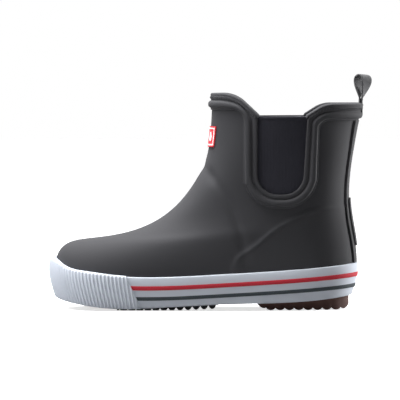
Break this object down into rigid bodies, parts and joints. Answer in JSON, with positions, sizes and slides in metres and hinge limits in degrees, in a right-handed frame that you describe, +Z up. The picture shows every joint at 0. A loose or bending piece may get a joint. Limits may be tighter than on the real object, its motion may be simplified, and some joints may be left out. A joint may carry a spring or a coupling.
{
  "type": "rubber rain boot",
  "caption": "Ankle-high pull-on rubber rain boot with elastic side gussets, striped sidewall, ribbed toe bumper, heeled tread and a pull loop.",
  "frame": {"origin": "centre of the boot's box on the floor that the tread stands on", "axes": "+Z up out of the collar, -X to the toe, -Y to the lateral side of the left foot"},
  "size_m": [0.2392, 0.0877, 0.1735],
  "materials": {
    "upper_rubber": "satin matte, near black",
    "trim_rubber": "satin matte, near black",
    "foxing_rubber": "matte pale cool grey",
    "stripe_red": "matte red",
    "stripe_dark": "matte charcoal",
    "outsole_rubber": "matte black",
    "heel_rubber": "matte dark brown",
    "midsole_rubber": "matte",
    "elastic_web": "ribbed woven elastic",
    "lining_knit": "brushed knit",
    "webbing": "woven tape",
    "label_red": "satin red",
    "stiffener": "stiffened felt",
    "filler_cork": "granulated cork",
    "shank_steel": "spring steel",
    "board_fibre": "fibre board",
    "footbed_foam": "knit-faced foam"
  },
  "bodies": {
    "boot": {"vamp": "upper_rubber", "shaft": "upper_rubber", "toe_puff": "stiffener", "lining": "lining_knit", "lateral_gusset": "elastic_web", "medial_gusset": "elastic_web", "front_trim": "trim_rubber", "rear_trim": "trim_rubber", "front_rim_tape": "trim_rubber", "rear_rim_tape": "trim_rubber", "heel_counter": "upper_rubber", "backstay": "trim_rubber", "heel_patch": "trim_rubber", "front_label": "label_red", "foxing": "foxing_rubber", "red_stripe": "stripe_red", "dark_stripe": "stripe_dark", "toe_bumper": "foxing_rubber", "outsole": "outsole_rubber", "heel_lift": "heel_rubber", "midsole": "midsole_rubber", "sole_filler": "filler_cork", "shank": "shank_steel", "insole_board": "board_fibre", "footbed": "footbed_foam", "loop_tails": "webbing"},
    "pull_loop": {"pull_loop": "webbing"}
  },
  "joints": [
    {"name": "loop_bend", "type": "hinge", "parent": "boot", "child": "pull_loop", "pos_m": [0.11153, 0, 0.1536], "axis": [0, 1, 0], "range_deg": [-70, 70], "stiffness_Nm_per_rad": 0.0015}
  ]
}
